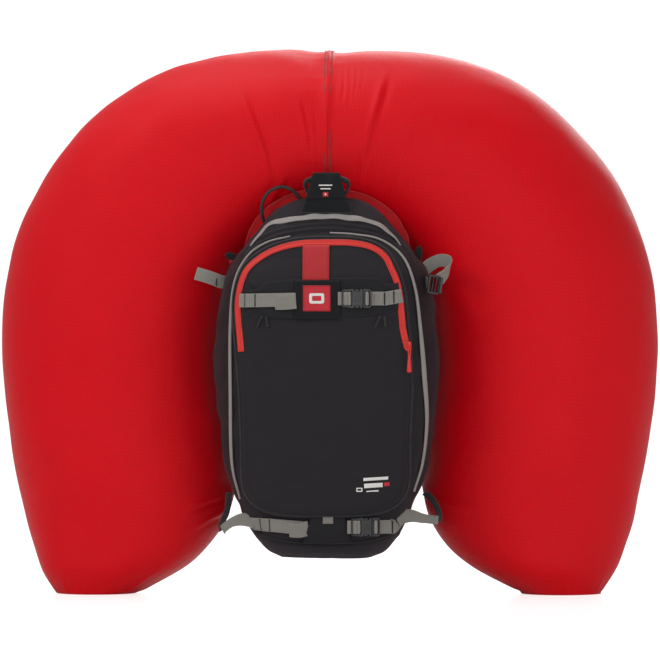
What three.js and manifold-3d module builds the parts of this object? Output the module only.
// Avalanche airbag backpack, shown with its twin-chamber airbag inflated and standing on its two ends.
// Millimetres, +Z up, +X to the wearer's right, +Y towards the wearer's back.
// The pack's outer face looks along -Y.
// Every piece is drawn with y = 0 on the pack's back panel; the last group moves the origin to the floor
// under the middle of the object.
import * as THREE from "three";
import { LoftGeometry } from "three/addons/geometries/LoftGeometry.js";
import { mergeVertices } from "three/addons/utils/BufferGeometryUtils.js";
import Module from "manifold-3d";

// ---------------------------------------------------------------- driving dimensions
const BACK_PANEL_TO_MIDDLE = -19.6; // y shift that centres the object's depth on the origin
const GAP = 0.4; // clearance between neighbouring pieces
const WEBBING = 20; // width of the grey compression webbing
const WEBBING_THICK = 1.6;

const SHELL_WALL = 3; // pack fabric with its foam lining
const FRONT_SQUARENESS = 3; // exponents of the pack's rounded cross-section
const REAR_SQUARENESS = 6;
const REAR_NARROWING = 0.25; // how much narrower the back panel is than the widest section
const POCKET_DEPTH = 14; // how far the front tool pocket stands off the pack
const POCKET_RIM = 4.4;
const POCKET_WALL = 3;
const POCKET_SEAM = 2.2; // the pocket's sewn edge stands this far off the pack's face
const FLAP_HINGE_Z = 362; // fold line of the tool pocket's flap

const BAG_SKIN = 3; // stands for the coated airbag fabric
const BAG_SEAM_GAP = 0.6; // each chamber's distance from the centre seam
const PORT_RADIUS = 20;

const CARTRIDGE_RADIUS = 24;
const CARTRIDGE_WALL = 3;
const CARTRIDGE_BASE = new THREE.Vector3(58, -48, 150);
const CARTRIDGE_LENGTH = 216;
const NECK_RADIUS = 9;
const HEAD_OVERLAP = 17; // how far the cartridge neck screws into the percussion head

const CABLE_PORT = { x: -62, z: 492, radius: 5 }; // where the trigger cable enters the back panel

const BUCKLE = { height: 28, depth: 8, socket: 20, plug: 12, prong: 14 };

// ---------------------------------------------------------------- colours and finishes
const FINISHES = {
  bag_fabric: { color: 0xc4001a, roughness: 0.5, metalness: 0 },
  bag_strip: { color: 0x8a0012, roughness: 0.6, metalness: 0 },
  pack_fabric: { color: 0x252126, roughness: 0.85, metalness: 0 },
  mesh_pad: { color: 0x1b1a1c, roughness: 0.95, metalness: 0 },
  grey_webbing: { color: 0x8a8680, roughness: 0.9, metalness: 0 },
  black_webbing: { color: 0x1d1c1e, roughness: 0.9, metalness: 0 },
  grey_piping: { color: 0xa09c98, roughness: 0.5, metalness: 0 },
  red_trim: { color: 0xd9362e, roughness: 0.55, metalness: 0 },
  black_plastic: { color: 0x18181a, roughness: 0.4, metalness: 0 },
  red_plastic: { color: 0xd01824, roughness: 0.4, metalness: 0 },
  hose_rubber: { color: 0x202022, roughness: 0.6, metalness: 0 },
  anodised: { color: 0x9a9ca0, roughness: 0.35, metalness: 0.9 },
  spring_steel: { color: 0xb4b6ba, roughness: 0.3, metalness: 1 },
  cartridge_paint: { color: 0xd8d9da, roughness: 0.35, metalness: 0.4 },
};

// ---------------------------------------------------------------- small tools
const wasm = await Module();
wasm.setup();

const vector = (x, y, z) => new THREE.Vector3(x, y, z);
const X_AXIS = vector(1, 0, 0);
const Y_AXIS = vector(0, 1, 0);
const Z_AXIS = vector(0, 0, 1);

function piece(name, finish, geometry) {
  const mesh = new THREE.Mesh(geometry, new THREE.MeshStandardMaterial(FINISHES[finish]));
  mesh.name = name;
  return mesh;
}

// A group that holds pieces at a place, turned by Euler angles in radians.
function placed(position, pieces, rotation = [0, 0, 0]) {
  const group = new THREE.Group();
  group.position.copy(position);
  group.rotation.set(...rotation);
  group.add(...pieces);
  return group;
}

function mirrored(mesh, name) {
  const copy = mesh.clone();
  copy.name = name;
  copy.scale.x = -1;
  return copy;
}

function toManifold(geometry) {
  const bare = new THREE.BufferGeometry()
    .setAttribute("position", geometry.getAttribute("position"))
    .setIndex(geometry.getIndex());
  const merged = mergeVertices(bare, 1e-3);
  return new wasm.Manifold(
    new wasm.Mesh({
      numProp: 3,
      vertProperties: merged.attributes.position.array,
      triVerts: new Uint32Array(merged.index.array),
    }),
  );
}

function fromManifold(manifold) {
  const mesh = manifold.getMesh();
  return new THREE.BufferGeometry()
    .setAttribute("position", new THREE.BufferAttribute(mesh.vertProperties, 3))
    .setIndex(new THREE.BufferAttribute(mesh.triVerts, 1));
}

function cut(body, ...tools) {
  return fromManifold(tools.reduce((left, tool) => left.subtract(toManifold(tool)), toManifold(body)));
}

function join(body, ...others) {
  return fromManifold(others.reduce((whole, part) => whole.add(toManifold(part)), toManifold(body)));
}

// Box between two corners.
function block(low, high) {
  const size = high.map((value, i) => value - low[i]);
  const middle = high.map((value, i) => (value + low[i]) / 2);
  return new THREE.BoxGeometry(...size).translate(...middle);
}

// Cylinder between two heights on the Z axis.
function drum(radius, bottom, top, sides = 24) {
  return new THREE.CylinderGeometry(radius, radius, top - bottom, sides)
    .rotateX(Math.PI / 2)
    .translate(0, 0, (top + bottom) / 2);
}

// Smooth curve through [position, value] pairs that never overshoots them, read at any position.
function profile(pairs) {
  const rise = pairs.slice(1).map(([p, v], i) => (v - pairs[i][1]) / (p - pairs[i][0]));
  const slopes = pairs.map((_, i) => {
    if (i === 0 || i === rise.length) return rise[Math.min(i, rise.length - 1)];
    const product = rise[i - 1] * rise[i];
    return product <= 0 ? 0 : (2 * product) / (rise[i - 1] + rise[i]);
  });
  return (at) => {
    const found = pairs.findIndex(([p]) => p > at) - 1;
    const i = at < pairs[0][0] ? 0 : found < 0 ? rise.length - 1 : found;
    const [p0, v0] = pairs[i];
    const [p1, v1] = pairs[i + 1];
    const span = p1 - p0;
    const t = THREE.MathUtils.clamp((at - p0) / span, 0, 1);
    const t2 = t * t;
    const t3 = t2 * t;
    const eased = 3 * t2 - 2 * t3;
    return v0 * (1 - eased) + v1 * eased + span * (slopes[i] * (t3 - 2 * t2 + t) + slopes[i + 1] * (t3 - t2));
  };
}

const evenly = (count, from, to) =>
  Array.from({ length: count }, (_, i) => from + ((to - from) * i) / (count - 1));

function loft(sections) {
  return new LoftGeometry(sections, { capStart: true, capEnd: true });
}

// Four corners of a strap's cross-section: half along "side", thickness along the surface normal.
function strapSection(centre, tangent, across, width, thickness) {
  const side = across.clone().addScaledVector(tangent, -across.dot(tangent)).normalize();
  const normal = vector(0, 0, 0).crossVectors(tangent, side);
  const corner = (s, n) =>
    centre
      .clone()
      .addScaledVector(side, (s * width) / 2)
      .addScaledVector(normal, (n * thickness) / 2);
  return [corner(1, 1), corner(-1, 1), corner(-1, -1), corner(1, -1)];
}

// Flat strap that follows a smooth path. "width" is a number or a function of the share of length.
function ribbon(points, { width, thickness, across, samples = 16 }) {
  const curve = new THREE.CatmullRomCurve3(points.map((p) => vector(...p)), false, "centripetal");
  const widthAt = typeof width === "function" ? width : () => width;
  return loft(
    evenly(samples + 1, 0, 1).map((t) => {
      const tangent = curve.getTangentAt(t);
      const side = typeof across === "function" ? across(tangent) : across;
      return strapSection(curve.getPointAt(t), tangent, side, widthAt(t), thickness);
    }),
  );
}

// Round cord or hose along a smooth path.
function cord(points, radius, { steps = 24, sides = 10 } = {}) {
  const circle = new THREE.Shape(
    evenly(sides + 1, 0, 2 * Math.PI)
      .slice(0, sides)
      .map((a) => new THREE.Vector2(radius * Math.cos(a), radius * Math.sin(a))),
  );
  const extrudePath = new THREE.CatmullRomCurve3(points.map((p) => vector(...p)), false, "centripetal");
  return new THREE.ExtrudeGeometry(circle, { steps, extrudePath, bevelEnabled: false });
}

// ---------------------------------------------------------------- the pack's outer form
const packHalfWidth = profile([
  [58, 68], [66, 84], [80, 98], [105, 115], [140, 131], [190, 150], [270, 160], [350, 167],
  [410, 162], [450, 155], [480, 146], [500, 134], [520, 120], [540, 108], [562, 92], [577, 72], [584, 52],
]);
const packFront = profile([
  [58, -114], [66, -134], [80, -150], [105, -162], [150, -165.5], [430, -165.5],
  [470, -162], [500, -153], [520, -144], [540, -133], [562, -117], [577, -103], [584, -93],
]);
const packBack = profile([
  [58, -24], [66, -8], [80, 0], [520, 0], [540, -17], [562, -41], [577, -61], [584, -71],
]);
const PACK_BOTTOM = 58;
const PACK_TOP = 584;

const signedPower = (value, power) => Math.sign(value) * Math.abs(value) ** power;

// One level of the pack, drawn "inset" millimetres inside its outer face.
function packSection(z, inset, points) {
  const half = packHalfWidth(z) - inset;
  const middle = (packFront(z) + packBack(z)) / 2;
  const depth = (packBack(z) - packFront(z)) / 2 - inset;
  return evenly(points + 1, 0, 2 * Math.PI)
    .slice(0, points)
    .map((angle) => {
      const power = 2 / (Math.sin(angle) > 0 ? REAR_SQUARENESS : FRONT_SQUARENESS);
      const alongY = signedPower(Math.sin(angle), power);
      const rearward = THREE.MathUtils.smoothstep(alongY, 0, 1);
      const x = half * signedPower(Math.cos(angle), power) * (1 - REAR_NARROWING * rearward);
      return vector(x, middle + depth * alongY, z);
    });
}

// y of the pack's front face.
function shellY(x, z) {
  const middle = (packFront(z) + packBack(z)) / 2;
  const depth = (packBack(z) - packFront(z)) / 2;
  const share = Math.min(Math.abs(x) / packHalfWidth(z), 0.999);
  return middle - depth * (1 - share ** FRONT_SQUARENESS) ** (1 / FRONT_SQUARENESS);
}

const pocketY = (x, z) => shellY(x, z) - POCKET_DEPTH;

function faceNormal(surface, x, z) {
  const step = 0.5;
  const slopeX = (surface(x + step, z) - surface(x - step, z)) / (2 * step);
  const slopeZ = (surface(x, z + step) - surface(x, z - step)) / (2 * step);
  return vector(slopeX, -1, slopeZ).normalize();
}

// Strap, tape or piping laid on a face of the pack along a path of [x, z] points.
function faceRibbon(path, { surface, width, thickness, lift = GAP, samples = 16 }) {
  const curve = new THREE.CatmullRomCurve3(path.map(([x, z]) => vector(x, 0, z)), false, "centripetal");
  const laid = (t) => {
    const flat = curve.getPointAt(t);
    const normal = faceNormal(surface, flat.x, flat.z);
    return vector(flat.x, surface(flat.x, flat.z), flat.z).addScaledVector(normal, lift + thickness / 2);
  };
  const step = 0.25 / samples;
  const widthAt = typeof width === "function" ? width : () => width;
  return loft(
    evenly(samples + 1, 0, 1).map((t) => {
      const flat = curve.getPointAt(t);
      const tangent = laid(Math.min(t + step, 1)).sub(laid(Math.max(t - step, 0))).normalize();
      const across = vector(0, 0, 0).crossVectors(tangent, faceNormal(surface, flat.x, flat.z));
      return strapSection(laid(t), tangent, across, widthAt(t), thickness);
    }),
  );
}

// Solid between two depths in front of the pack's face, as wide as "halfWidth" says at each level.
function frontSlab(levels, halfWidth, nearY, farY, columns = 9) {
  return loft(
    levels.map((z) => {
      const xs = evenly(columns, -halfWidth(z), halfWidth(z));
      const front = xs.map((x) => vector(x, farY(x, z), z));
      const back = xs.map((x) => vector(x, nearY(x, z), z)).reverse();
      return [...front, ...back];
    }),
  );
}

// ---------------------------------------------------------------- airbag
// Each station of a chamber: outer edge x and z, inner edge x and z, middle y, half depth.
const CHAMBER_STATIONS = [
  [BAG_SEAM_GAP, 800, BAG_SEAM_GAP, 531, 76, 140],
  [62, 806, 40, 528, 76, 146],
  [150, 799, 82, 512, 76, 150],
  [237, 777, 112, 482, 76, 152],
  [318, 732, 130, 448, 76, 152],
  [393, 661, 140, 415, 76, 152],
  [448, 573, 144, 380, 76, 151],
  [478, 483, 144, 345, 76, 150],
  [488, 385, 142, 305, 74, 148],
  [484, 295, 138, 262, 70, 143],
  [472, 207, 135, 212, 62, 136],
  [456, 130, 139, 152, 50, 125],
  [441, 76, 160, 92, 36, 110],
  [426, 33, 212, 40, 22, 94],
  [404, 0, 286, 0, 16, 66],
];
const CHAMBER_SECTIONS = 27;
const CHAMBER_SIDES = 24;

const stationCurve = (pick) => new THREE.CatmullRomCurve3(CHAMBER_STATIONS.map(pick), false, "catmullrom", 0.5);
const outerEdge = stationCurve(([x, z]) => vector(x, 0, z));
const innerEdge = stationCurve(([, , x, z]) => vector(x, 0, z));
const middleAndDepth = stationCurve(([, , , , middle, depth]) => vector(middle, depth, 0));

function chamberSection(t, inset, sides) {
  const outer = outerEdge.getPoint(t);
  const inner = innerEdge.getPoint(t);
  const { x: middle, y: depth } = middleAndDepth.getPoint(t);
  const centre = outer.clone().add(inner).multiplyScalar(0.5).setY(middle);
  const half = outer.clone().sub(inner).multiplyScalar(0.5);
  const share = 1 - inset / half.length();
  return evenly(sides + 1, 0, 2 * Math.PI)
    .slice(0, sides)
    .map((angle) =>
      centre
        .clone()
        .addScaledVector(half, share * Math.cos(angle))
        .addScaledVector(Y_AXIS, -(depth - inset) * Math.sin(angle)),
    );
}

const VENTURI = { x: 50, y: -34, z: 566, tilt: Math.PI * 0.75 }; // its axis leans down and forward

function airbagChamber() {
  const endShare = 0.006; // the end walls' thickness as a share of the chamber's length
  const outer = loft(evenly(CHAMBER_SECTIONS, 0, 1).map((t) => chamberSection(t, 0, CHAMBER_SIDES)));
  const inner = loft(
    evenly(CHAMBER_SECTIONS - 9, endShare, 1 - endShare).map((t) => chamberSection(t, BAG_SKIN, CHAMBER_SIDES - 8)),
  );
  const port = drum(PORT_RADIUS, -40, 40, 16).rotateX(VENTURI.tilt).translate(VENTURI.x, VENTURI.y, VENTURI.z);
  return cut(outer, inner, port);
}

// Flat strip sewn over the seam between the two chambers.
function centreStrip() {
  const proud = 6;
  const top = CHAMBER_STATIONS[0][1];
  const bottom = CHAMBER_STATIONS[0][3];
  const [, , , , middle, depth] = CHAMBER_STATIONS[0];
  const angles = evenly(13, THREE.MathUtils.degToRad(-28), THREE.MathUtils.degToRad(208));
  const path = angles.map((a) => [
    0,
    middle - (depth + proud) * Math.cos(a),
    (top + bottom) / 2 + ((top - bottom) / 2 + proud) * Math.sin(a),
  ]);
  return ribbon(path, { width: 22, thickness: WEBBING_THICK, across: X_AXIS, samples: 24 });
}

// Venturi inlet: a flanged throat with a bore that lets outside air in behind the gas jet.
function venturi() {
  const throat = PORT_RADIUS - 1;
  const outline = [
    [throat - 4, -16], [throat, -16], [throat, 9], [throat + 7, 9], [throat + 7, 12],
    [throat + 2, 14], [12, 36], [8, 36], [throat - 6, 12], [throat - 4, -16],
  ];
  const nozzle = new THREE.LatheGeometry(outline.map(([r, h]) => new THREE.Vector2(r, h)), 20);
  return nozzle.rotateX(Math.PI / 2);
}

// ---------------------------------------------------------------- gas firing set
function gasCartridge() {
  const r = CARTRIDGE_RADIUS;
  const bore = 3;
  const shoulder = CARTRIDGE_LENGTH - 46;
  const neck = CARTRIDGE_LENGTH - 22;
  const wall = CARTRIDGE_WALL;
  const outline = [
    [0, 0], [r - 8, 0], [r - 2, 3], [r, 9], [r, shoulder], [r - 4, shoulder + 14], [r - 12, neck - 3],
    [NECK_RADIUS, neck], [NECK_RADIUS, CARTRIDGE_LENGTH], [bore, CARTRIDGE_LENGTH], [bore, neck - 2],
    [r - 12 - wall, neck - 8], [r - 4 - wall, shoulder + 11], [r - wall, shoulder - 2], [r - wall, 10],
    [r - 8, wall + 1], [0, wall],
  ];
  return new THREE.LatheGeometry(outline.map(([x, y]) => new THREE.Vector2(x, y)), 28).rotateX(Math.PI / 2);
}

const HEAD = { radius: 19, height: 53, socket: 20, chamberTop: 47, chamber: 8.4, stemHole: 2.9, barbZ: 26 };

function percussionHead() {
  const barb = (turn) =>
    drum(4, 12, 30, 12)
      .rotateY(Math.PI / 2)
      .rotateZ(turn)
      .translate(0, 0, HEAD.barbZ);
  const pivot = drum(2.2, HEAD.height - 2, HEAD.height + 6, 12).translate(SEAR.pivotX, 0, 0);
  const body = join(drum(HEAD.radius, 0, HEAD.height, 28), barb(0), barb(Math.PI), pivot);
  return cut(
    body,
    drum(NECK_RADIUS + GAP, -1, HEAD.socket, 24),
    drum(HEAD.chamber, HEAD.socket - 1, HEAD.chamberTop, 24),
    drum(HEAD.stemHole, HEAD.chamberTop - 1, HEAD.height + 1, 16),
  );
}

const STRIKER = { tip: 20.5, piston: 30, pistonRadius: 7.9, stemRadius: 2.1, stemTop: 63, button: 4.2 };

function striker() {
  const { tip, piston, pistonRadius, stemRadius, stemTop, button } = STRIKER;
  const outline = [
    [0, tip], [1.4, tip + 3], [1.4, piston], [pistonRadius, piston], [pistonRadius, piston + 6],
    [stemRadius, piston + 6], [stemRadius, stemTop - 3], [button, stemTop - 3], [button, stemTop], [0, stemTop],
  ];
  return new THREE.LatheGeometry(outline.map(([r, z]) => new THREE.Vector2(r, z)), 20).rotateX(Math.PI / 2);
}

function strikerSpring() {
  const turns = 3.5;
  const radius = 5.2;
  const wire = 0.8;
  const low = STRIKER.piston + 6 + wire + 0.3;
  const high = HEAD.chamberTop - wire - 0.3;
  const helix = evenly(Math.round(turns * 10) + 1, 0, 1).map((t) => {
    const angle = t * turns * 2 * Math.PI;
    return [radius * Math.cos(angle), radius * Math.sin(angle), low + (high - low) * t];
  });
  return cord(helix, wire, { steps: 56, sides: 6 });
}

const SEAR = { pivotX: 13, halfWidth: 5.5, thickness: 2, length: 22, tail: 9 };

// Fork that holds the striker's button up until it swings aside about its pivot.
function searLever() {
  const { pivotX, halfWidth, thickness, length, tail } = SEAR;
  const notchWide = 2.9;
  const outline = new THREE.Shape([
    new THREE.Vector2(pivotX - length, -halfWidth),
    new THREE.Vector2(-notchWide - 2.6, -halfWidth),
    new THREE.Vector2(-notchWide, notchWide),
    new THREE.Vector2(notchWide, notchWide),
    new THREE.Vector2(notchWide + 0.8, -halfWidth),
    new THREE.Vector2(pivotX + tail, -halfWidth),
    new THREE.Vector2(pivotX + tail, halfWidth),
    new THREE.Vector2(pivotX - length, halfWidth),
  ]);
  const hole = new THREE.Path().absarc(pivotX, 0, 2.2 + GAP, 0, 2 * Math.PI, true);
  outline.holes.push(hole);
  const extrusion = { depth: thickness, bevelEnabled: false, curveSegments: 8 };
  return new THREE.ExtrudeGeometry(outline, extrusion).translate(
    0, 0, HEAD.height + GAP,
  );
}

// ---------------------------------------------------------------- pack body
const AIRBAG_MOUTH = { halfWidth: 84, frontY: -78, bottom: 530 };

function packShell() {
  const levels = [58, 62, 70, 82, 105, 140, 190, 270, 350, 410, 450, 480, 500, 520, 540, 562, 577, 584];
  const inside = [58 + SHELL_WALL, 70, 82, 105, 140, 190, 270, 350, 410, 450, 480, 500, 520, 540, 562, 577];
  const outer = loft(levels.map((z) => packSection(z, 0, 32)));
  const inner = loft(inside.map((z) => packSection(z, SHELL_WALL, 28)));
  const { halfWidth, frontY, bottom } = AIRBAG_MOUTH;
  const mouth = block([-halfWidth, frontY, bottom], [halfWidth, 30, PACK_TOP + 10]);
  const cablePort = drum(CABLE_PORT.radius, -12, 12, 12)
    .rotateX(Math.PI / 2)
    .translate(CABLE_PORT.x, 0, CABLE_PORT.z);
  return cut(outer, inner, mouth, cablePort);
}

const pocketHalf = profile([
  [123, 62], [127, 84], [136, 99], [150, 110], [175, 118], [250, 123], [362, 126], [440, 126],
  [470, 121], [494, 107], [510, 86], [519, 64], [526, 30],
]);
const flapHalf = (z) => pocketHalf(z) - POCKET_RIM - 3.5 * GAP;

function toolPocketBody() {
  const levels = [123, 127, 136, 150, 175, 250, 362, 440, 470, 494, 510, 519, 526];
  const body = frontSlab(levels, pocketHalf, (x, z) => shellY(x, z) - POCKET_SEAM, pocketY);
  const inner = (z) => pocketHalf(z) - POCKET_RIM;
  const hollow = frontSlab(
    levels.slice(1, -1),
    inner,
    (x, z) => shellY(x, z) + 2,
    (x, z) => pocketY(x, z) + POCKET_WALL,
  );
  const mouth = frontSlab([FLAP_HINGE_Z, ...levels.slice(7, -1)], inner, shellY, (x, z) => pocketY(x, z) - 2);
  return cut(body, hollow, mouth);
}

const SLIDER = { x: 119, z: 369, width: 9, height: 13 };

function toolPocketFlap() {
  const levels = [FLAP_HINGE_Z + 1, 440, 470, 494, 510, 517];
  const panel = frontSlab(levels, flapHalf, (x, z) => pocketY(x, z) + POCKET_WALL, pocketY);
  const { x, z, width, height } = SLIDER;
  const notch = block([x - width / 2 - 2, -220, FLAP_HINGE_Z], [x + 20, -100, z + height / 2 + 2]);
  return cut(panel, notch);
}

const ZIP_PATH = [
  [-116, 366], [-117, 400], [-117, 440], [-112, 468], [-98, 490], [-76, 505], [-40, 512],
  [0, 513.5], [40, 512], [76, 505], [98, 490], [112, 468], [117, 440], [117, 400], [116, 381],
];

const faceCentre = (surface, x, z, lift) =>
  vector(x, surface(x, z), z).addScaledVector(faceNormal(surface, x, z), lift);

// ---------------------------------------------------------------- buckles
// A side-release buckle lies along X with the joint face at x = 0: the socket at x < 0, the plug at x > 0.
const TUNNEL = { low: 0.7, high: 3.1 }; // depth of the webbing's tunnel through the plug, towards the pack

function buckleSocket(scale = 1) {
  const h = BUCKLE.height * scale;
  const { depth, socket, prong } = BUCKLE;
  return cut(
    block([-socket, -depth / 2, -h / 2], [0, depth / 2, h / 2]),
    block([-prong - 2, -3.2, -h / 2 + 2.5], [1, 0.3, h / 2 - 2.5]),
    block([-socket + 1.6, -depth, -WEBBING / 2 - 0.5], [-socket + 3.2, depth, WEBBING / 2 + 0.5]),
  );
}

function bucklePlug(scale = 1) {
  const h = BUCKLE.height * scale;
  const { depth, plug, prong } = BUCKLE;
  const body = block([GAP, -depth / 2, -h / 2], [plug, depth / 2, h / 2]);
  const arm = (side) => block([-prong, -2.8, side * 7 * scale - 2], [GAP + 1, -0.1, side * 7 * scale + 2]);
  const tunnel = block([-1, TUNNEL.low, -WEBBING / 2 - 0.6], [plug + 1, TUNNEL.high, WEBBING / 2 + 0.6]);
  return cut(join(body, arm(1), arm(-1)), tunnel);
}

// ---------------------------------------------------------------- harness
const SHOULDER_PATH = [
  [62, 7.5, 446], [63, 26, 478], [65, 62, 492], [67, 98, 470], [69, 122, 420], [71, 128, 360], [73, 120, 300],
  [76, 97, 244],
];
const SHOULDER_THICK = 11;

function shoulderStrap() {
  const width = profile([[0, 58], [0.3, 66], [0.6, 62], [1, 40]]);
  return ribbon(SHOULDER_PATH, { width, thickness: SHOULDER_THICK, across: X_AXIS, samples: 18 });
}

function shoulderWebbing() {
  const path = [[77, 93, 238], [88, 62, 212], [100, 24, 190], [105, 3, 176]];
  return ribbon(path, { width: WEBBING, thickness: WEBBING_THICK, across: X_AXIS, samples: 8 });
}

const BELT_END = { x: 99, y: 136, z: 124, lean: 0.16 }; // the end leans inwards by this angle

function hipBelt() {
  const end = [BELT_END.x, BELT_END.y, BELT_END.z];
  const path = [[95, 7, 114], [99, 26, 116], [104, 60, 120], [104, 100, 123], end];
  const width = profile([[0, 70], [0.4, 66], [0.8, 54], [1, 44]]);
  return ribbon(path, { width, thickness: 12, across: Z_AXIS, samples: 10 });
}

// Crowned pad with rounded corners that lies on the back panel.
function backPad(low, high, depth) {
  const [x0, z0] = low;
  const [x1, z1] = high;
  const corner = 14;
  const shape = new THREE.Shape();
  shape.moveTo(x0 + corner, z0);
  shape.lineTo(x1 - corner, z0);
  shape.quadraticCurveTo(x1, z0, x1, z0 + corner);
  shape.lineTo(x1, z1 - corner);
  shape.quadraticCurveTo(x1, z1, x1 - corner, z1);
  shape.lineTo(x0 + corner, z1);
  shape.quadraticCurveTo(x0, z1, x0, z1 - corner);
  shape.lineTo(x0, z0 + corner);
  shape.quadraticCurveTo(x0, z0, x0 + corner, z0);
  const bevel = 4;
  return new THREE.ExtrudeGeometry(shape, {
    depth: depth - 2 * bevel,
    bevelThickness: bevel,
    bevelSize: bevel,
    bevelOffset: -bevel,
    bevelSegments: 2,
    curveSegments: 4,
  })
    .rotateX(Math.PI / 2)
    .translate(0, GAP + depth - bevel, 0);
}

// ---------------------------------------------------------------- assembly
function airbag() {
  const right = piece("airbag_chamber_right", "bag_fabric", airbagChamber());
  const inlet = (side) =>
    placed(vector(side * VENTURI.x, VENTURI.y, VENTURI.z), [
      piece(side > 0 ? "venturi_right" : "venturi_left", "black_plastic", venturi()),
    ], [VENTURI.tilt, 0, 0]);
  return [
    right,
    mirrored(right, "airbag_chamber_left"),
    piece("airbag_centre_strip", "bag_strip", centreStrip()),
    inlet(1),
    inlet(-1),
  ];
}

const HEAD_BASE = CARTRIDGE_BASE.clone().add(vector(0, 0, CARTRIDGE_LENGTH - HEAD_OVERLAP));

function firingSet() {
  const barbZ = HEAD_BASE.z + HEAD.barbZ;
  const { x, y } = HEAD_BASE;
  const inletX = VENTURI.x;
  const inletY = VENTURI.y - 33;
  const inletZ = VENTURI.z - 33;
  const rightHose = [[x + 34, y, barbZ], [x + 52, y, barbZ + 16], [x + 40, y, 470], [inletX + 4, inletY - 6, 512],
    [inletX, inletY, inletZ]];
  const leftHose = [[x - 34, y, barbZ], [x - 70, y, barbZ + 14], [-40, y, 450], [-inletX - 2, inletY - 6, 508],
    [-inletX, inletY, inletZ]];
  return [
    placed(CARTRIDGE_BASE, [piece("gas_cartridge", "cartridge_paint", gasCartridge())]),
    placed(HEAD_BASE, [
      piece("percussion_head", "anodised", percussionHead()),
      piece("striker", "anodised", striker()),
      piece("striker_spring", "spring_steel", strikerSpring()),
      piece("sear_lever", "spring_steel", searLever()),
    ]),
    piece("pressure_hose_right", "hose_rubber", cord(rightHose, 3.5, { steps: 16, sides: 8 })),
    piece("pressure_hose_left", "hose_rubber", cord(leftHose, 3.5, { steps: 20, sides: 8 })),
  ];
}

const TRIGGER = { x: -71, y: 146, sleeveLow: 398, sleeveHigh: 436, top: 388, length: 84, radius: 9 };

function triggerSet() {
  const { x, y, sleeveLow, sleeveHigh, top, length, radius } = TRIGGER;
  const stemRadius = 2.6;
  const grip = new THREE.CapsuleGeometry(radius, length - 2 * radius, 4, 14)
    .rotateX(Math.PI / 2)
    .translate(x, y, top - length / 2);
  const stem = drum(stemRadius, top - 4, sleeveHigh - 2, 12).translate(x, y, 0);
  const sleeve = cut(
    block([x - 11, y - 9, sleeveLow], [x + 11, y + 8, sleeveHigh]),
    drum(stemRadius + GAP, sleeveLow - 1, sleeveHigh - 1, 12).translate(x, y, 0),
  );
  const cable = [
    [x, y - 2, sleeveHigh + 3], [x, y - 10, 466], [-68, 104, 492], [-66, 66, 504], [-64, 26, 498],
    [CABLE_PORT.x, 0, CABLE_PORT.z], [CABLE_PORT.x - 2, -20, 500], [-74, -48, 532], [-80, -68, 562],
    [-89, -73, 584], [-87, -75, 602], [-76, -76, 611], [-62, -75, 603], [-50, -72, 586], [-36, -68, 556],
    [-12, -62, 500],
    [HEAD_BASE.x - 30, -62, HEAD_BASE.z + 62], [HEAD_BASE.x - 2, HEAD_BASE.y - 10, HEAD_BASE.z + 68],
  ];
  return [
    piece("trigger_handle", "red_plastic", join(grip, stem)),
    piece("trigger_sleeve", "black_plastic", sleeve),
    piece("trigger_cable", "black_webbing", cord(cable, 2, { steps: 44, sides: 8 })),
  ];
}

function packBody() {
  const topBand = [
    [-110, 514], [-84, 545], [-55, 552.5], [0, 558], [62, 551], [92, 534], [108, 515],
  ];
  const sheet = block([-68, -9.6, 125], [68, -8, 465]);
  const hoop = [
    [-64, -14, 128], [-68, -14, 250], [-68, -14, 400], [-54, -14, 446], [0, -14, 466], [54, -14, 446],
    [68, -14, 400], [68, -14, 250], [64, -14, 128],
  ];
  const collar = [
    [-124, -44, 512], [-113, -50, 550], [-92, -57, 578], [-50, -62, 594], [0, -66, 598], [50, -62, 594],
    [92, -57, 578], [113, -50, 550], [124, -44, 512],
  ];
  const pipingRight = [
    [128, 156], [141, 200], [147, 260], [144, 320], [138, 393],
    [130, 454], [113, 498], [80, 524], [40, 532], [0, 534],
  ];
  const pipingLeft = [[-125, 145], [-137, 200], [-139, 300], [-139, 400], [-133, 462], [-114, 500], [-80, 523]];
  return [
    piece("pack_shell", "pack_fabric", packShell()),
    piece("frame_sheet", "black_plastic", sheet),
    piece("frame_hoop", "anodised", cord(hoop, 2.5, { steps: 30, sides: 8 })),
    piece("top_zip_band", "grey_piping", faceRibbon(topBand, {
      surface: shellY, width: 8, thickness: WEBBING_THICK, samples: 22,
    })),
    piece("side_piping_right", "grey_piping", faceRibbon(pipingRight, {
      surface: shellY, width: profile([[0, 6], [0.3, 10], [0.6, 5], [1, 3]]), thickness: 3, samples: 30,
    })),
    piece("side_piping_left", "grey_piping", faceRibbon(pipingLeft, {
      surface: shellY, width: 5, thickness: 3, samples: 24,
    })),
    piece("airbag_collar", "bag_strip", ribbon(collar, {
      width: 20, thickness: WEBBING_THICK, across: (tangent) => tangent.clone().cross(Y_AXIS), samples: 24,
    })),
  ];
}

const CLOSURE = { z: 566, y: -116, height: 57, bottomHalf: 36, topHalf: 19, thickness: 3 };

// Tapered flap that closes the airbag compartment; it stands up once the bag has burst out.
function closureFlap() {
  const { height, bottomHalf, topHalf, thickness } = CLOSURE;
  const shape = new THREE.Shape([
    new THREE.Vector2(-bottomHalf, 0),
    new THREE.Vector2(bottomHalf, 0),
    new THREE.Vector2(topHalf, height),
    new THREE.Vector2(-topHalf, height),
  ]);
  return new THREE.ExtrudeGeometry(shape, { depth: thickness, bevelEnabled: false }).rotateX(Math.PI / 2);
}

const GRAB_HANDLE = { y: -85, foot: 590.5, top: 621, halfWidth: 30 }; // its feet stand clear of the lid

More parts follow.
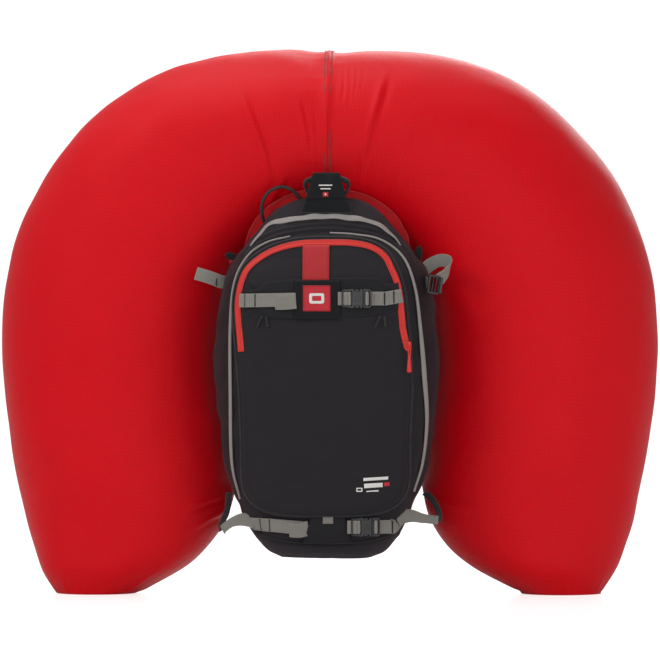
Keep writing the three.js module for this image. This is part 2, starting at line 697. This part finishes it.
function topPieces() {
  const { y, foot, top, halfWidth } = GRAB_HANDLE;
  const shoulder = [halfWidth - 6, y, top - 5];
  const side = [halfWidth, y, (foot + top) / 2];
  const end = [halfWidth - 5, y, foot];
  const across = ([x, ...rest]) => [-x, ...rest];
  const handle = [across(end), across(side), across(shoulder), [0, y, top], shoulder, side, end];
  return [
    placed(vector(0, CLOSURE.y, CLOSURE.z), [piece("closure_flap", "pack_fabric", closureFlap())], [-0.06, 0, 0]),
    piece("grab_handle", "black_webbing", ribbon(handle, {
      width: 12, thickness: 3, across: Y_AXIS, samples: 16,
    })),
  ];
}

const UPPER_STRAP_Z = 439;
const UPPER_BUCKLE_X = 55;
const LABEL_X = -11; // the label and the ribbon over it sit left of the middle
const LOWER_STRAP_Z = 105;
const LOWER_BUCKLE_X = 67;
const UPPER_STRAP_END = 112; // where the right-hand webbing meets the side of the pack
const LOWER_STRAP_END = 106;
const STRAP_END_STANDOFF = 8;
const STANDOFF = 1.2; // webbing's distance from the face under it

function frontPieces() {
  const strapOn = (surface, z) => (x0, x1, lift = STANDOFF) =>
    faceRibbon([[x0, z], [(x0 + x1) / 2, z], [x1, z]], {
      surface, width: WEBBING, thickness: WEBBING_THICK, lift, samples: 8,
    });
  const upper = strapOn(pocketY, UPPER_STRAP_Z);
  const lower = strapOn(shellY, LOWER_STRAP_Z);
  const buckleAt = (name, surface, x, z, clear, end) => {
    const slope = Math.atan2(surface(x + 8, z) - surface(x - 8, z), 16);
    const seat = vector(x, surface(x, z) - clear - BUCKLE.depth / 2, z);
    const along = (d) => {
      const p = vector(d, (TUNNEL.low + TUNNEL.high) / 2, 0).applyAxisAngle(Z_AXIS, slope).add(seat);
      return [p.x, p.y, p.z];
    };
    const sewnEnd = [end, surface(end, z) - STRAP_END_STANDOFF, z];
    const straight = [1, 8, 16, 24, 31].map(along); // clear of the plug over its whole travel
    const webbing = ribbon([...straight, sewnEnd], {
      width: WEBBING, thickness: WEBBING_THICK, across: Z_AXIS, samples: 18,
    });
    return [
      piece(name + "_strap_right", "grey_webbing", webbing),
      placed(seat, [
        piece(name + "_buckle_socket", "black_plastic", buckleSocket()),
        piece(name + "_buckle_plug", "black_plastic", bucklePlug()),
      ], [0, 0, slope]),
    ];
  };
  const patch = (surface, x, z0, z1, halfLow, halfHigh, lift, thickness) =>
    faceRibbon([[x, z0], [x, (z0 + z1) / 2], [x, z1]], {
      surface,
      width: (t) => 2 * THREE.MathUtils.lerp(halfLow, halfHigh, t),
      thickness,
      lift,
      samples: 4,
    });
  return [
    piece("tool_pocket_body", "pack_fabric", toolPocketBody()),
    piece("tool_pocket_flap", "pack_fabric", toolPocketFlap()),
    piece("tool_pocket_zip", "red_trim", faceRibbon(ZIP_PATH, {
      surface: pocketY, width: 9, thickness: 3, lift: GAP + 0.2, samples: 48,
    })),
    piece("accent_ribbon", "red_trim", patch(pocketY, LABEL_X - 2, 467, 507, 19, 19, STANDOFF, 1.2)),
    piece("label_patch", "pack_fabric", patch(pocketY, LABEL_X, 410, 466, 33, 33, 3.4, 2)),
    piece("upper_strap_left", "grey_webbing", upper(-111, UPPER_BUCKLE_X - BUCKLE.socket - 1.5)),
    ...buckleAt("upper", pocketY, UPPER_BUCKLE_X, UPPER_STRAP_Z, 1.6, UPPER_STRAP_END),
    piece("lower_strap_left", "grey_webbing", lower(-104, LOWER_BUCKLE_X - BUCKLE.socket - 1.5)),
    ...buckleAt("lower", shellY, LOWER_BUCKLE_X, LOWER_STRAP_Z, 3, LOWER_STRAP_END),
    piece("lower_patch", "pack_fabric", patch(shellY, 2, 84, 122, 34, 24, 5.6, 2)),
  ];
}

function sliderAndPuller() {
  const { x, z, width, height } = SLIDER;
  const seat = faceCentre(pocketY, x, z, 0);
  const outward = Math.atan2(pocketY(x + 2, z) - pocketY(x - 2, z), 4);
  const body = new THREE.BoxGeometry(width, 5, height).translate(0, -6.6, 0);
  const ear = (side) => block([side * 2.9 - 0.7, -13, 3], [side * 2.9 + 0.7, -8, 6]);
  const crossways = (radius, half) =>
    drum(radius, -half, half, 12).rotateY(Math.PI / 2).translate(0, -11.8, 4.5);
  const tail = block([-1.9, -12.5, -12], [1.9, -11.1, 4]);
  const grip = block([-3.2, -13, -38], [3.2, -10.6, -11]);
  return [
    placed(seat, [
      piece("zip_slider", "red_trim", join(body, ear(1), ear(-1), crossways(0.8, 2.9))),
      piece("zip_puller", "red_trim", cut(join(tail, grip, crossways(2.2, 1.9)), crossways(1.1, 3))),
    ], [0, 0, outward]),
  ];
}

function skiStraps() {
  const tail = [[-155, -92, 463], [-165, -97, 465], [-178, -99, 466], [-191, -99, 467]];
  const loop = [
    [151, -72, 474], [163, -74, 480], [176, -84, 484],
    [179, -100, 485], [172, -116, 482], [163, -126, 478],
  ];
  const lock = cut(
    block([-9, -4, -14], [9, 4, 14]),
    block([-5.6, -6, -11], [-1.4, 6, 11]),
    block([1.4, -6, -11], [5.6, 6, 11]),
  );
  const lowLeft = [[-116, -122, 104], [-130, -120, 104], [-150, -112, 98], [-152, -92, 112], [-143, -74, 148]];
  const lowRight = [[119, -122, 107], [132, -118, 114], [164, -112, 111], [164, -92, 122], [146, -74, 150]];
  const low = (path) =>
    ribbon(path, { width: 14, thickness: WEBBING_THICK, across: vector(0, 0.25, 1), samples: 16 });
  return [
    piece("ski_strap_upper_left", "grey_webbing", ribbon(tail, {
      width: WEBBING, thickness: 2.4, across: vector(0, 0.15, 1), samples: 8,
    })),
    piece("ski_strap_upper_right", "grey_webbing", ribbon(loop, {
      width: WEBBING, thickness: WEBBING_THICK, across: vector(0.2, 0, 1), samples: 14,
    })),
    placed(vector(158, -137, 459), [piece("ladder_lock", "black_plastic", lock)], [0, 0.15, 0.35]),
    piece("ski_strap_lower_left", "grey_webbing", low(lowLeft)),
    piece("ski_strap_lower_right", "grey_webbing", low(lowRight)),
  ];
}

const STERNUM = { z: 376, y: 140, x: 8 };

function harness() {
  const strap = piece("shoulder_strap_right", "mesh_pad", shoulderStrap());
  const webbing = piece("shoulder_webbing_right", "black_webbing", shoulderWebbing());
  const belt = piece("hip_belt_right", "mesh_pad", hipBelt());
  const sternum = (x0, x1, y) =>
    ribbon([[x0, y, STERNUM.z], [(x0 + x1) / 2, y, STERNUM.z], [x1, y, STERNUM.z]], {
      width: WEBBING, thickness: WEBBING_THICK, across: Z_AXIS, samples: 2,
    });
  const plugReach = BUCKLE.plug + 1;
  const socketReach = BUCKLE.socket + 1;
  const beltEnd = (side, reach) =>
    vector(
      side * (BELT_END.x - reach * Math.sin(BELT_END.lean)),
      BELT_END.y + reach * Math.cos(BELT_END.lean),
      BELT_END.z,
    );
  const pad = backPad([22, 168], [92, 422], 15);
  const padRight = piece("back_pad_right", "mesh_pad", pad);
  const tunnelMiddle = (TUNNEL.low + TUNNEL.high) / 2;
  return [
    padRight,
    mirrored(padRight, "back_pad_left"),
    piece("lumbar_pad", "mesh_pad", backPad([-80, 78], [80, 152], 20)),
    strap,
    mirrored(strap, "shoulder_strap_left"),
    webbing,
    mirrored(webbing, "shoulder_webbing_left"),
    piece("sternum_webbing_left", "black_webbing",
      sternum(-37, STERNUM.x - BUCKLE.socket - GAP, STERNUM.y + 1.9)),
    piece("sternum_webbing_right", "black_webbing", sternum(STERNUM.x + 1, 37, STERNUM.y + tunnelMiddle)),
    placed(vector(STERNUM.x, STERNUM.y, STERNUM.z), [
      piece("sternum_buckle_socket", "black_plastic", buckleSocket()),
      piece("sternum_buckle_plug", "black_plastic", bucklePlug()),
    ]),
    belt,
    mirrored(belt, "hip_belt_left"),
    placed(beltEnd(1, plugReach), [
      piece("hip_buckle_plug", "black_plastic", bucklePlug(1.5)),
    ], [0, 0, BELT_END.lean - Math.PI / 2]),
    placed(beltEnd(-1, socketReach), [
      piece("hip_buckle_socket", "black_plastic", buckleSocket(1.5)),
    ], [0, 0, Math.PI / 2 - BELT_END.lean]),
  ];
}

const group = placed(vector(0, BACK_PANEL_TO_MIDDLE, 0), [
  ...airbag(),
  ...firingSet(),
  ...triggerSet(),
  ...packBody(),
  ...topPieces(),
  ...frontPieces(),
  ...sliderAndPuller(),
  ...skiStraps(),
  ...harness(),
]);

export default group;
